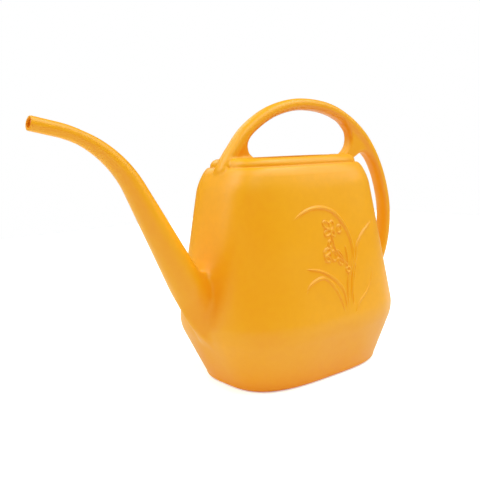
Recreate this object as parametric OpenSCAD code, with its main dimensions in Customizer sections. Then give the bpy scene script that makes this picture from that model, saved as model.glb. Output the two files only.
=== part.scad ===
// Watering can, blow moulded in one hollow piece.
// Origin: centre of the flat base, on the floor. +Z up, spout towards -X, handle strap towards +X.
// All sizes are in millimetres.

/* [Tank] */
// Half length of the base
base_half_l = 71.5; // [68:0.5:74]
// Half width of the base
base_half_w = 46; // [43:0.5:49]
// Radius of the base's lower edge
base_edge_r = 4; // [3:0.5:5]
// Height of the belly line, where the tank is widest
belly_z = 44.5; // [42:0.5:47]
// Half length at the belly line
belly_half_l = 87; // [84:0.5:88]
// Half width at the belly line
belly_half_w = 61; // [57:0.5:64]
// Height above and below the belly line over which it is rounded
belly_soft = 8; // [5:1:12]
// How far the tank above the belly sits forward of the base
tank_forward = 3; // [2:0.5:4]
// Height of the soft break below the shoulder
neck_z = 148.5; // [146:0.5:150]
// Half length at the soft break
neck_half_l = 70.5; // [69.5:0.5:72]
// Half width at the soft break
neck_half_w = 43; // [42:0.5:45]
// Height where the shoulder's rounding starts
shoulder_z = 155.5; // [154:0.5:157]
// Half length where the shoulder's rounding starts
shoulder_half_l = 67; // [67:0.5:68.5]
// Half width where the shoulder's rounding starts
shoulder_half_w = 40.5; // [40:0.5:41.5]
// How far the shoulder's rounding runs inwards
shoulder_r = 5; // [4:0.5:5]
// Height of the deck above the floor
deck_z = 162; // [161:0.5:163]
// Wall thickness of the moulding
wall = 1.8; // [1.2:0.1:2]

/* [Mouth] */
// Half length of the collar round the mouth
collar_half_l = 62; // [61:0.5:62]
// Half width of the collar
collar_half_w = 33.5; // [32:0.5:34.5]
// Height of the collar above the deck
collar_h = 6.2; // [5:0.1:7]
// Radius of the collar's upper edge
collar_r = 4; // [3:0.5:4.5]
// Half length of the mouth opening
mouth_half_l = 42; // [38:0.5:44]
// Half width of the mouth opening
mouth_half_w = 24.5; // [20:0.5:26]
// Centre of the mouth along X
mouth_x = 7; // [5:0.5:9]

/* [Spout] */
// Outlet centre along X
tip_x = -205.8; // [-207:0.1:-204]
// Outlet centre above the floor
tip_z = 194.7; // [193:0.1:197]
// Slope of the nozzle, in degrees above level
tip_slope = 12.9; // [12:0.1:14]
// Length of the straight nozzle
nozzle_l = 16.7; // [15:0.1:18]
// Outer radius of the nozzle
nozzle_r = 4.6; // [4.2:0.1:5]
// Radius of the nozzle's bore
bore_r = 3.2; // [2.8:0.1:3.4]
// Radius of the gooseneck's centreline
gooseneck_r = 78.3; // [76:0.1:80]
// Slope of the stem, in degrees above level
stem_slope = 61.9; // [61:0.1:62.5]
// Distance from the outlet at which the spout starts to widen
taper_start = 33; // [30:1:36]
// Growth of the spout's radius per millimetre of length
taper = 0.061; // [0.058:0.001:0.063]
// Distance from the outlet at which the root takes over from the stem
root_start = 160; // [156:1:162]
// Lowest point of the root on the tank
root_low = 36; // [34:0.5:38]
// Highest point of the root on the tank
root_high = 94; // [92:0.5:96]
// Half width of the root on the tank
root_half_w = 17; // [16:0.5:18]

/* [Handle] */
// Half thickness of the handle, in its own plane
grip_half_t = 4.6; // [4.2:0.1:5]
// Half width of the handle, across its plane
grip_half_w = 6.3; // [5.8:0.1:7]
// Thickness of the web at the handle's front foot
front_web_t = 7.5; // [6:0.5:9]
// Thickness of the web at the handle's rear
rear_web_t = 9; // [7:0.5:10]

/* [Flower relief] */
// Height of the raised lines above the wall
relief_h = 0.8; // [0.5:0.1:1]
// Width of a raised line at its middle
relief_w = 1.8; // [1.4:0.1:2.2]

/* [Hidden] */

body_colour = "#f2a52a";
relief_colour = "#f4ad3a";

// Points round a tank section, and round a spout or handle section
tank_sides = 64;
tube_sides = 24;
// Plan exponent of the tank's sections: 2 is an ellipse, more is squarer
plan_n = 3.2;
top_n = 3.4;
mouth_n = 2.5;
grip_n = 2.3;

// ---- Curves -------------------------------------------------------------------------

function mix(p, q, t) = p + (q - p) * t;
function bend(p, q, r, t) = mix(mix(p, q, t), mix(q, r, t), t);
function signed_pow(v, e) = sign(v) * pow(abs(v), e);

// A smooth curve through a list of points, at a position counted in points
function route_at(points, u) =
    let (
        last = len(points) - 1,
        i = min(floor(u), last - 1),
        t = u - i,
        p1 = points[i],
        p2 = points[i + 1],
        p0 = i > 0 ? points[i - 1] : 2 * p1 - p2,
        p3 = i + 2 <= last ? points[i + 2] : 2 * p2 - p1
    )
    0.5 * (2 * p1 + (p2 - p0) * t + (2 * p0 - 5 * p1 + 4 * p2 - p3) * t * t
        + (3 * p1 - p0 - 3 * p2 + p3) * t * t * t);

// ---- Solids from rings of points ----------------------------------------------------

function ring_faces(i, k, sides) = [
    for (j = [0 : sides - 1])
        let (a = i * sides + j, b = i * sides + (j + 1) % sides,
            c = k * sides + (j + 1) % sides, d = k * sides + j)
        each [[a, c, b], [a, d, c]]
];

// Rings joined in order, with a cap at each end: one flat face, or a fan where it isn't flat
module loft(rings, flat = true) {
    sides = len(rings[0]);
    last = len(rings) - 1;
    end = last * sides;
    polyhedron(
        points = [for (r = rings) each r],
        faces = concat(
            flat
                ? [[for (j = [0 : sides - 1]) j], [for (j = [sides - 1 : -1 : 0]) end + j]]
                : [for (j = [1 : sides - 2]) each [[0, j, j + 1], [end, end + j + 1, end + j]]],
            [for (i = [0 : last - 1]) each ring_faces(i, i + 1, sides)]));
}

// Rings joined in order and the last to the first: out along the skin and back inside
module shell(rings) {
    sides = len(rings[0]);
    count = len(rings);
    polyhedron(
        points = [for (r = rings) each r],
        faces = [for (i = [0 : count - 1]) each ring_faces(i, (i + 1) % count, sides)]);
}

function reversed(list) = [for (i = [len(list) - 1 : -1 : 0]) list[i]];

// ---- Tank sections: [half length, half width, centre x, height, plan exponent] --------

function tank_ring(s) = [
    for (j = [0 : tank_sides - 1])
        let (a = 360 * j / tank_sides)
        [s[2] + s[0] * signed_pow(cos(a), 2 / s[4]), s[1] * signed_pow(sin(a), 2 / s[4]), s[3]]
];
function tank_rings(sections) = [for (s = sections) tank_ring(s)];
function thinner(s, by) = [s[0] - by, s[1] - by, s[2], s[3], s[4]];

base_top = [base_half_l, base_half_w, 0, base_edge_r, plan_n];
belly = [belly_half_l, belly_half_w, -tank_forward, belly_z, plan_n];
neck = [neck_half_l, neck_half_w, -tank_forward, neck_z, top_n];
shoulder_foot = [shoulder_half_l, shoulder_half_w, -tank_forward, shoulder_z, top_n];

base_sections = [
    for (q = [0 : 30 : 90])
        [base_half_l - base_edge_r * (1 - sin(q)), base_half_w - base_edge_r * (1 - sin(q)),
            0, base_edge_r * (1 - cos(q)), plan_n]
];
function belly_section(t) = bend(
    mix(belly, base_top, belly_soft / (belly_z - base_edge_r)), belly,
    mix(belly, neck, belly_soft / (neck_z - belly_z)), t);
lower_sections = [base_top, belly_section(0)];
upper_sections = [each [for (t = [0 : 0.25 : 1]) belly_section(t)], neck, shoulder_foot];

// The shoulder's rounding, seen from outside or from inside the wall
function shoulder_sections(in) = [
    for (q = [0 : 22.5 : 90])
        let (l = shoulder_half_l - in - (shoulder_r - in) * (1 - cos(q)),
            w = shoulder_half_w - in - (shoulder_r - in) * (1 - cos(q)))
        [l, w, -tank_forward, shoulder_z + (deck_z - in - shoulder_z) * sin(q), top_n]
];
collar_foot = [collar_half_l, collar_half_w, -tank_forward, deck_z, top_n];
collar_top_z = deck_z + collar_h;
function collar_sections(in) = [
    thinner(collar_foot, in),
    for (q = [0 : 22.5 : 90])
        let (r = collar_r - in,
            draft = 0.4 + in + r * (1 - cos(q)))
        [collar_half_l - draft, collar_half_w - draft, -tank_forward,
            collar_top_z - collar_r + r * sin(q), top_n]
];
function mouth_section(z) = [mouth_half_l, mouth_half_w, mouth_x, z, mouth_n];

// Outside of the wall at a place across (y) and up (z) the front
function wall_section(z) =
    z < belly_z - belly_soft
        ? mix(base_top, belly, (z - base_edge_r) / (belly_z - base_edge_r))
    : z < belly_z + belly_soft
        ? belly_section((z - belly_z + belly_soft) / (2 * belly_soft))
    : mix(belly, neck, (z - belly_z) / (neck_z - belly_z));
function front_wall_x(y, z) =
    let (s = wall_section(z))
    s[2] - s[0] * pow(1 - pow(abs(y) / s[1], s[4]), 1 / s[4]);
function side_wall_y(x, z) =
    let (s = wall_section(z))
    s[1] * pow(1 - pow(abs(x - s[2]) / s[0], s[4]), 1 / s[4]);

// The tank with no hollow, for trimming what is moulded on to it
module tank_outside() {
    loft(tank_rings([
        each base_sections, belly_section(0), belly_section(0.25), belly_section(0.5),
        belly_section(0.75), belly_section(1), neck, each shoulder_sections(0)]));
    loft(tank_rings(collar_sections(0)));
}

// The upper end of the tank alone
module tank_top_outside() {
    loft(tank_rings([neck, each shoulder_sections(0)]));
    loft(tank_rings(collar_sections(0)));
}

// ---- Spout: distances are counted from the outlet -------------------------------------

gooseneck_l = gooseneck_r * (stem_slope - tip_slope) * PI / 180;
stem_start = nozzle_l + gooseneck_l;
function spout_slope(s) =
    s < nozzle_l ? tip_slope
    : s < stem_start ? tip_slope + (s - nozzle_l) / gooseneck_r * 180 / PI
    : stem_slope;
function spout_centre(s) =
    let (
        q = spout_slope(s),
        near = min(s, nozzle_l),
        far = max(s - stem_start, 0)
    )
    [tip_x + near * cos(tip_slope) + gooseneck_r * (sin(q) - sin(tip_slope)) + far * cos(q), 0,
        tip_z - near * sin(tip_slope) - gooseneck_r * (cos(tip_slope) - cos(q)) - far * sin(q)];
function spout_r(s) = nozzle_r + taper * max(s - taper_start, 0);
function spout_bore(s) = s < stem_start
    ? mix(bore_r, spout_r(stem_start) - wall, max(s - nozzle_l, 0) / gooseneck_l)
    : spout_r(s) - wall;
// Point on a circle of radius r round the centreline; angle 0 is the upper side
function spout_point(s, r, a) =
    let (q = spout_slope(s), up = [sin(q), 0, cos(q)])
    spout_centre(s) + r * (cos(a) * up - [0, sin(a), 0]);
function spout_ring(s, r) = [for (j = [0 : tube_sides - 1]) spout_point(s, r, 360 * j / tube_sides)];

// Where the root meets the tank, on the oval of the given half height and half width
root_mid = (root_low + root_high) / 2;
root_half_h = (root_high - root_low) / 2;
function root_foot(half_h, half_w, z, a) =
    let (y = -half_w * sin(a), height = z + half_h * cos(a))
    [front_wall_x(y, height), y, height];

// The root's skin from the stem (t = 0) to the tank (t = 1)
function root_ring(t, r, reach, half_h, half_w, z) = [
    for (j = [0 : tube_sides - 1])
        let (
            a = 360 * j / tube_sides,
            p = spout_point(root_start, r, a),
            along = spout_centre(root_start + 1) - spout_centre(root_start),
            q = p + along * (reach * (1 - cos(a)) / 2 + 7)
        )
        bend(p, q, root_foot(half_h, half_w, z, a), t)
];
root_reach = 13;
way_half_h = root_half_h - 8;
way_half_w = root_half_w - 6;
way_mid = root_mid - 3;

// The water's way through the tank's front wall into the root
module spout_way() {
    translate([-belly_half_l - 20, 0, way_mid])
        rotate([0, 90, 0])
            linear_extrude(height = 60)
                polygon([for (j = [0 : tube_sides - 1])
                    let (a = 360 * j / tube_sides)
                    [-way_half_h * cos(a), way_half_w * sin(a)]]);
}

// ---- Handle: one route in the plane y = 0, from the front shoulder round to the rear wall

handle_route = [
    [-66.5, 156], [-63, 163.5], [-55, 174], [-40, 189.5], [-15, 203], [16.5, 208.5], [52.5, 203],
    [85, 184], [106, 157], [117.5, 124], [116.5, 94.5], [107, 71], [92, 58.5], [74, 53]
];
// Positions along the route, counted in its points, where one piece ends and the next starts
grip_from = 3;
grip_to = 7;
strap_to = 10;
route_end = len(handle_route) - 1;

function handle_ring(u, in) =
    let (
        p = route_at(handle_route, u),
        before = route_at(handle_route, max(u - 0.01, 0)),
        after = route_at(handle_route, min(u + 0.01, route_end)),
        along = (after - before) / norm(after - before)
    )
    [for (j = [0 : tube_sides - 1])
        let (
            a = 360 * j / tube_sides,
            out = (grip_half_t - in) * signed_pow(cos(a), 2 / grip_n),
            side = -(grip_half_w - in) * signed_pow(sin(a), 2 / grip_n)
        )
        [p[0] - along[1] * out, side, p[1] + along[0] * out]];
function handle_rings(from, to, step, in) = [for (u = [from : step : to]) handle_ring(u, in)];

// A hollow length of the handle
module handle_tube(from, to, step) {
    shell(concat(
        handle_rings(from, to, step, 0),
        reversed(handle_rings(from, to, step, wall))));
}
module handle_outside(from, to) {
    loft(handle_rings(from, to, 0.25, 0));
}

// ---- Flower relief: lines drawn on the side wall as [x, z] ------------------------------

// Each line: [relative width, [points]]
flower_lines = [
    // tall arched leaf
    [1, [[3.5, 49], [5, 72], [11, 84], [16, 94], [15, 105], [11, 117], [3, 126.5], [-6, 131],
        [-18, 132.5], [-29, 130.5], [-39, 125]]],
    // right leaf
    [1, [[6, 60], [12, 80], [18, 91], [21.5, 100], [31, 109], [44, 115.5]]],
    // low left leaf
    [1, [[2, 54], [0.5, 68], [-4, 75.5], [-12, 82], [-22, 87], [-35, 89.5]]],
    // short left leaf
    [1, [[0, 50], [-5, 66], [-11, 76], [-18, 81], [-26, 80.5], [-33, 77.5], [-38, 72]]],
    // low right leaf
    [1, [[9, 50], [15, 57.5], [25, 64], [32, 71], [36.5, 79.5]]],
    // flower stem
    [1.2, [[4.5, 50], [7, 70], [7, 84], [3, 93], [-3, 101], [-4.5, 110], [-6, 114]]]
];
// Each petal: [x, z, half length, half width, angle]
flower_petals = [
    for (a = [20 : 72 : 308]) [-6 + 3.4 * cos(a), 117 + 3.4 * sin(a), 3.2, 1.9, a],
    for (a = [60 : 120 : 300]) [5 + 2.4 * cos(a), 113 + 2.4 * sin(a), 2.4, 1.5, a],
    for (a = [0 : 90 : 270]) [-10 + 3 * cos(a), 97 + 3 * sin(a), 3, 1.7, a],
    for (a = [45 : 120 : 285]) [8.5 + 2.2 * cos(a), 95 + 2.2 * sin(a), 2.6, 1.4, a],
    [-8, 104, 2.4, 1.6, 90]
];

function on_wall(p, lift) = [p[0], side_wall_y(p[0], p[1]) + lift, p[1]];

// A raised line with a flat back on the wall and a rounded front
module wall_line(points, width) {
    steps = 3;
    count = (len(points) - 1) * steps;
    loft([
        for (i = [0 : count])
            let (
                u = i / steps,
                p = route_at(points, u),
                d = route_at(points, min(u + 0.05, len(points) - 1))
                    - route_at(points, max(u - 0.05, 0)),
                across = [-d[1], d[0]] / norm(d),
                fade = 0.35 + 0.65 * sin(180 * i / count),
                half = width / 2 * fade,
                lift = relief_h * fade
            )
            [on_wall(p + across * half, 0), on_wall(p - across * half, 0),
                on_wall(p - across * half * 0.4, lift), on_wall(p + across * half * 0.4, lift)]
    ], flat = false);
}

// A raised petal, domed from a flat back on the wall
module wall_petal(x, z, half_l, half_w, angle) {
    function oval(k, lift) = [
        for (j = [0 : 9])
            let (a = -36 * j, l = k * half_l * cos(a), w = k * half_w * sin(a))
            on_wall([x + l * cos(angle) - w * sin(angle), z + l * sin(angle) + w * cos(angle)], lift)
    ];
    loft([oval(1, 0), oval(0.85, relief_h * 0.7), oval(0.45, relief_h * 1.1)], flat = false);
}

module flower() {
    for (line = flower_lines) wall_line(line[1], relief_w * line[0]);
    for (p = flower_petals) wall_petal(p[0], p[1], p[2], p[3], p[4]);
}

// ---- Sub-parts --------------------------------------------------------------------------

module base_panel() {
    color(body_colour)
        loft(tank_rings([
            each base_sections, thinner(base_top, wall),
            [base_half_l - base_edge_r, base_half_w - base_edge_r, 0, wall, plan_n]]));
}

module lower_wall() {
    color(body_colour)
        shell(tank_rings(concat(lower_sections,
            reversed([for (s = lower_sections) thinner(s, wall)]))));
}

module upper_wall() {
    color(body_colour)
        difference() {
            shell(tank_rings(concat(upper_sections,
                reversed([for (s = upper_sections) thinner(s, wall)]))));
            spout_way();
        }
}

module shoulder() {
    edge = thinner(collar_foot, wall);
    color(body_colour)
        shell(tank_rings([
            each shoulder_sections(0), edge,
            [edge[0], edge[1], edge[2], deck_z - wall, edge[4]],
            each reversed(shoulder_sections(wall))]));
}

module mouth_collar() {
    color(body_colour)
        shell(tank_rings([
            each collar_sections(0), mouth_section(collar_top_z),
            mouth_section(collar_top_z - wall), each reversed(collar_sections(wall))]));
}

module spout_root() {
    steps = [0 : 0.125 : 1];
    color(body_colour)
        shell(concat(
            [for (t = steps) root_ring(t, spout_r(root_start), root_reach,
                root_half_h, root_half_w, root_mid)],
            reversed([for (t = steps) root_ring(t, spout_bore(root_start), root_reach,
                way_half_h, way_half_w, way_mid)])));
}

// The stem and the nozzle lie along their axes, so they are true cones and cylinders
module along_spout(s) {
    translate(spout_centre(s))
        rotate([0, 90 + spout_slope(s), 0])
            children();
}

module spout_stem() {
    length = root_start - stem_start;
    color(body_colour)
        along_spout(stem_start)
            difference() {
                cylinder(h = length, r1 = spout_r(stem_start), r2 = spout_r(root_start), $fn = 48);
                cylinder(h = length, r1 = spout_bore(stem_start), r2 = spout_bore(root_start), $fn = 48);
            }
}

module spout_gooseneck() {
    stops = [for (i = [0 : 14]) nozzle_l + gooseneck_l * i / 14];
    color(body_colour)
        shell(concat(
            [for (s = stops) spout_ring(s, spout_r(s))],
            reversed([for (s = stops) spout_ring(s, spout_bore(s))])));
}

module spout_nozzle() {
    color(body_colour)
        along_spout(0)
            difference() {
                cylinder(h = nozzle_l, r = nozzle_r, $fn = 48);
                translate([0, 0, -1])
                    cylinder(h = nozzle_l + 2, r = bore_r, $fn = 48);
            }
}

module handle_front_post() {
    color(body_colour)
        difference() {
            handle_tube(0, grip_from, 0.25);
            tank_top_outside();
        }
}

module handle_front_web() {
    color(body_colour)
        difference() {
            rotate([90, 0, 0])
                linear_extrude(height = front_web_t, center = true)
                    polygon([
                        [-62, 160], [-57, 172], [-42, 188], [-36.5, 190], [-39.5, 184.5],
                        [-40.6, 179], [-39.8, 173.5], [-36.5, 169.5], [-33, 167.5], [-33, 160]]);
            handle_outside(0, grip_from + 1);
            tank_top_outside();
        }
}

module handle_grip() {
    color(body_colour) handle_tube(grip_from, grip_to, 0.25);
}

module handle_rear_web() {
    color(body_colour)
        difference() {
            rotate([90, 0, 0])
                linear_extrude(height = rear_web_t, center = true)
                    polygon([
                        [50, 160], [52, 167], [57.5, 168.5], [62.5, 171.8], [66, 176.5], [67, 181],
                        [66, 187], [63, 192], [68, 195], [87, 184], [95, 170], [91, 166],
                        [88, 168.3], [84.5, 168.8], [81, 166.5], [72, 159.5], [62, 152], [50, 150]]);
            handle_outside(grip_to - 2, strap_to - 1);
            tank_top_outside();
        }
}

module handle_rear_strap() {
    color(body_colour) handle_tube(grip_to, strap_to, 0.25);
}

module handle_strap_foot() {
    color(body_colour)
        difference() {
            handle_tube(strap_to, route_end, 0.25);
            tank_outside();
        }
}

module flower_relief_left() {
    color(relief_colour) mirror([0, 1, 0]) flower();
}

module flower_relief_right() {
    color(relief_colour) flower();
}

base_panel();
lower_wall();
upper_wall();
shoulder();
mouth_collar();
spout_root();
spout_stem();
spout_gooseneck();
spout_nozzle();
handle_front_post();
handle_front_web();
handle_grip();
handle_rear_web();
handle_rear_strap();
handle_strap_foot();
flower_relief_left();
flower_relief_right();
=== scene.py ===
import math

import bmesh
import bpy
import numpy as np
from mathutils import Matrix, Vector


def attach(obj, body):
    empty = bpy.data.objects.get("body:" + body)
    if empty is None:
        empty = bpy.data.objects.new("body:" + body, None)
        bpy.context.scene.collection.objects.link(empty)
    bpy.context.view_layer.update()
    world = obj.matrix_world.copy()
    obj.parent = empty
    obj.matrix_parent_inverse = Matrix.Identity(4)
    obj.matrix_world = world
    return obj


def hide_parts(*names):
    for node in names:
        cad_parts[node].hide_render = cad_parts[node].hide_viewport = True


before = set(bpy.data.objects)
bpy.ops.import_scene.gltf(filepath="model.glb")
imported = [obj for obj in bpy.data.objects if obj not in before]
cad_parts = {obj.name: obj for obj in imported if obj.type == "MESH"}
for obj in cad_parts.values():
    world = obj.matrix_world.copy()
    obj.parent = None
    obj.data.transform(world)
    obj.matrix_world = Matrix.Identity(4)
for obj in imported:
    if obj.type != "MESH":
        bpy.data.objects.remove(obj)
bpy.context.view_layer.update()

# A blow-moulded watering can. Shapes are worked out in millimetres in the part's own frame:
# origin in the centre of the base on the floor, +Z up, spout towards -X, handle strap towards +X.
MM = 0.001
WALL = 1.8
UP, DOWN = (0, 0, 1.0), (0, 0, -1.0)

# ---- Tank sections: half length, half width, centre x, height, plan exponent -----------

BASE_EDGE = 4.0
BELLY_SOFT = 8.0
NECK_SOFT = 5.0
SHOULDER_R = 5.0
SHOULDER_SLOPE = 0.42
DECK_Z = 162.0
COLLAR_TOP = 168.2
COLLAR_R = 5.6
COLLAR_DRAFT = 0.4
TANK_X = -3.0
BASE = np.array([71.5, 46.0, 0.0, BASE_EDGE, 3.2])
BELLY = np.array([87.0, 61.0, TANK_X, 44.5, 3.2])
NECK = np.array([70.5, 43.0, TANK_X, 148.5, 3.4])
SHOULDER = np.array([67.0, 40.5, TANK_X, 155.5, 3.4])
COLLAR = np.array([62.0, 33.5, TANK_X, DECK_Z, 3.4])
MOUTH = np.array([42.0, 24.5, 7.0, COLLAR_TOP, 2.5])
LIP_R = 0.9
# The underside, which the photograph doesn't show: a foot ring and a shallow recess inside it
FOOT_W = 7.0
RECESS_W = 5.0
RECESS = 1.1
RECESS_INSIDE = (0.12, 0.32)
MIDDLE = 0.5

# Points round a ring, and rows along a soft bend, a quarter round and a half round
ANGLES = np.arange(288) * 2 * math.pi / 288
BEND = np.linspace(0, 1, 17)
QUARTER = np.linspace(0, math.pi / 2, 17)
HALF_TURN = np.linspace(0, math.pi, 13)


def mix(p, q, t):
    return p + (q - p) * t


def bend(p, q, r, t):
    return mix(mix(p, q, t), mix(q, r, t), t)


def smoothstep(low, high, v):
    t = np.clip((v - low) / (high - low), 0, 1)
    return t * t * (3 - 2 * t)


def between(p, q, count):
    return [mix(p, q, t) for t in np.linspace(0, 1, count)]


def corner(p, q, r, soft, t):
    """The rounding of the corner at q between p and r, reaching soft millimetres of height each way."""
    before = mix(q, p, soft / abs(q[3] - p[3]))
    after = mix(q, r, soft / abs(r[3] - q[3]))
    return bend(before, q, after, t)


def inset(section, by):
    s = np.array(section, float)
    s[:2] -= by
    return s


def raised(section, z):
    s = np.array(section, float)
    s[3] = z
    return s


def ring(section):
    a, b, cx, z, n = section
    c, s = np.cos(ANGLES), np.sin(ANGLES)
    r = (np.abs(c) ** n + np.abs(s) ** n) ** (-1 / n)
    return np.stack([cx + a * c * r, b * s * r, np.full_like(c, z)], 1)


def section_normals(section, slope):
    """Outward normals of a skin swept through sections; slope is the section's change along it."""
    a, b, cx, z, n = section
    p = ring(section)
    u, v = (p[:, 0] - cx) / a, p[:, 1] / b
    fx = n / a * np.sign(u) * np.abs(u) ** (n - 1)
    fy = n / b * np.sign(v) * np.abs(v) ** (n - 1)
    un, vn = np.abs(u) ** n, np.abs(v) ** n
    lu = np.where(un > 1e-12, un * np.log(np.maximum(np.abs(u), 1e-9)), 0)
    lv = np.where(vn > 1e-12, vn * np.log(np.maximum(np.abs(v), 1e-9)), 0)
    fs = -n / a * un * slope[0] - n / b * vn * slope[1] - fx * slope[2] + (lu + lv) * slope[4]
    out = np.stack([fx * slope[3], fy * slope[3], fs], 1)
    return out / np.linalg.norm(out, axis=1, keepdims=True)


# ---- Meshes from patches ----------------------------------------------------------------

class Skin:
    """Collects quads and triangles with a normal at each corner, and welds equal points."""

    def __init__(self):
        self.points, self.normals, self.faces, self.count = [], [], [], 0

    def grid(self, points, normals):
        """Rows of closed rings; normals is an array like points, or None for the faces' own."""
        rows, cols = points.shape[:2]
        bare = np.full((rows * cols, 3), np.nan)
        self.points.append(points.reshape(-1, 3))
        self.normals.append(bare if normals is None else normals.reshape(-1, 3))
        i, j = np.meshgrid(np.arange(rows - 1), np.arange(cols), indexing="ij")
        k = (j + 1) % cols
        quads = np.stack([i * cols + j, i * cols + k, (i + 1) * cols + k, (i + 1) * cols + j], -1)
        self.faces.append(quads.reshape(-1, 4) + self.count)
        self.count += rows * cols

    def flat(self, rows, way):
        """Rings in one plane, which all face one way."""
        rows = np.stack(rows)
        self.grid(rows, np.broadcast_to(np.array(way, float), rows.shape).copy())

    def cap(self, points, way):
        """A ring filled with rings that shrink to its middle; it runs counter-clockwise about way."""
        middle = points.mean(0)
        self.flat([mix(points, middle, t) for t in (0, 0.35, 0.7, 1)], way)

    def sections(self, sections, flip=False):
        """A skin through tank sections, smooth along its length, with its true normals."""
        s = np.array(sections)
        points = np.stack([ring(x) for x in s])
        normals = np.stack([section_normals(x, d) for x, d in zip(s, np.gradient(s, axis=0))])
        if flip:
            points, normals = points[::-1], -normals[::-1]
        self.grid(points, normals)

    def rim(self, outer, inner, way):
        """A flat rim between an outer and an inner section, facing up or down."""
        self.flat([ring(outer), ring(inner)][::int(way[2])], way)

    def made(self, name):
        parts = (self.points, self.normals, self.faces)
        return mesh_object(name, *weld(*(np.concatenate(part) for part in parts)))


def weld(points, normals, quads):
    """Points that coincide become one; a face keeps its own corner normals."""
    _, first, index = np.unique(np.round(points, 4), axis=0, return_index=True, return_inverse=True)
    co, ids, corners = points[first], index.reshape(-1)[quads], normals[quads].copy()
    flat = np.cross(co[ids[:, 2]] - co[ids[:, 0]], co[ids[:, 3]] - co[ids[:, 1]])
    flat /= np.maximum(np.linalg.norm(flat, axis=1, keepdims=True), 1e-12)
    bare = np.isnan(corners[:, 0, 0])
    corners[bare] = flat[bare][:, None]
    faces, out = [], []
    distinct = ids != np.roll(ids, 1, axis=1)
    for face, ns, new in zip(ids.tolist(), corners, distinct):
        if new.all():
            faces.append(face)
            out.append(ns)
        elif len(set(face)) == 3:
            faces.append([v for v, k in zip(face, new) if k])
            out.append(ns[new])
    return co, faces, np.concatenate(out)


def mesh_object(name, points, faces, corner_normals):
    mesh = bpy.data.meshes.new(name)
    mesh.from_pydata((np.asarray(points) * MM).tolist(), [], [list(map(int, f)) for f in faces])
    mesh.polygons.foreach_set("use_smooth", [True] * len(mesh.polygons))
    mesh.normals_split_custom_set(np.asarray(corner_normals).tolist())
    mesh.update()
    obj = bpy.data.objects.new(name, mesh)
    bpy.context.scene.collection.objects.link(obj)
    return obj


# ---- Tank pieces: a profile is the outer wall's sections, or the inner one's, by further in -----

def lower_profile(by):
    low, top = inset(BASE, by), inset(corner(BASE, BELLY, NECK, BELLY_SOFT, 0), by)
    return between(low, top, 12)


def upper_profile(by):
    belly = [corner(BASE, BELLY, NECK, BELLY_SOFT, t) for t in BEND]
    neck = [corner(BELLY, NECK, SHOULDER, NECK_SOFT, t) for t in BEND[::2]]
    run = between(belly[-1], neck[0], 30)[1:-1]
    end = between(neck[-1], SHOULDER, 3)[1:]
    return [inset(s, by) for s in belly + run + neck + end]


def shoulder_profile(by):
    rows = []
    rise = DECK_Z - by - SHOULDER[3]
    for q in QUARTER:
        z = rise * math.sin(q)
        rounding = (SHOULDER_R - SHOULDER_SLOPE * rise) * (1 - math.cos(q))
        rows.append(raised(inset(SHOULDER, by + SHOULDER_SLOPE * z + rounding), SHOULDER[3] + z))
    return rows


def collar_profile(by):
    r = COLLAR_R - by
    rows = [raised(inset(COLLAR, COLLAR_DRAFT + by + r * (1 - math.cos(q))),
                   COLLAR_TOP - COLLAR_R + r * math.sin(q)) for q in QUARTER]
    foot = raised(inset(COLLAR, by), DECK_Z)
    return between(foot, rows[0], 4)[:-1] + rows


def base_piece():
    skin = Skin()
    edge = [raised(inset(BASE, BASE_EDGE * (1 - math.cos(q))), BASE_EDGE * (1 - math.sin(q)))
            for q in np.linspace(math.pi / 2, 0, 13)]
    foot_ring = inset(edge[0], FOOT_W)
    recess = [raised(inset(foot_ring, RECESS_W * t), RECESS * smoothstep(0, 1, t))
              for t in np.linspace(1, 0, 9)]
    flat = between(inset(recess[0], recess[0][1] - MIDDLE), recess[0], 8)
    skin.sections(flat[:-1] + recess + between(foot_ring, edge[0], 4)[1:-1] + edge)
    skin.cap(ring(flat[0])[::-1], DOWN)
    skin.rim(BASE, inset(BASE, WALL), UP)
    r = BASE_EDGE - WALL
    inner = [raised(inset(BASE, WALL + r * (1 - math.cos(q))), BASE_EDGE - r * math.sin(q))
             for q in QUARTER[::2]]
    dome = between(inner[-1], inset(inner[-1], inner[-1][1] - MIDDLE), 12)
    for s, t in zip(dome, np.linspace(0, 1, len(dome))):
        s[3] = WALL + RECESS * smoothstep(*RECESS_INSIDE, t)
    skin.sections(inner + dome[1:])
    skin.cap(ring(dome[-1]), UP)
    return skin.made("base_panel_moulded")


def wall_piece(name, profile):
    skin = Skin()
    outer, inner = profile(0), profile(WALL)
    skin.sections(outer)
    skin.rim(outer[-1], inner[-1], UP)
    skin.sections(inner, flip=True)
    skin.rim(outer[0], inner[0], DOWN)
    return skin.made(name)


def shoulder_piece():
    skin = Skin()
    outer, inner = shoulder_profile(0), shoulder_profile(WALL)
    edge = raised(inset(COLLAR, WALL), DECK_Z)
    under = raised(edge, DECK_Z - WALL)
    skin.sections(outer)
    skin.rim(outer[-1], edge, UP)
    skin.grid(np.stack([ring(edge), ring(under)]), None)
    skin.sections([under] + inner[::-1][1:])
    skin.rim(outer[0], inner[0], DOWN)
    return skin.made("shoulder_moulded")


def collar_piece():
    skin = Skin()
    outer, inner = collar_profile(0), collar_profile(WALL)
    lip = [raised(inset(MOUTH, LIP_R * math.sin(q) - LIP_R), COLLAR_TOP - LIP_R + LIP_R * math.cos(q))
           for q in HALF_TURN]
    skin.sections(outer)
    skin.flat(between(ring(outer[-1]), ring(lip[0]), 14), UP)
    skin.sections(lip)
    skin.flat(between(ring(lip[-1]), ring(inner[-1]), 8), DOWN)
    skin.sections(inner[::-1])
    skin.rim(outer[0], inner[0], DOWN)
    return skin.made("mouth_collar_moulded")


# ---- Spout: distances are counted from the outlet along the centreline --------------------

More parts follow.
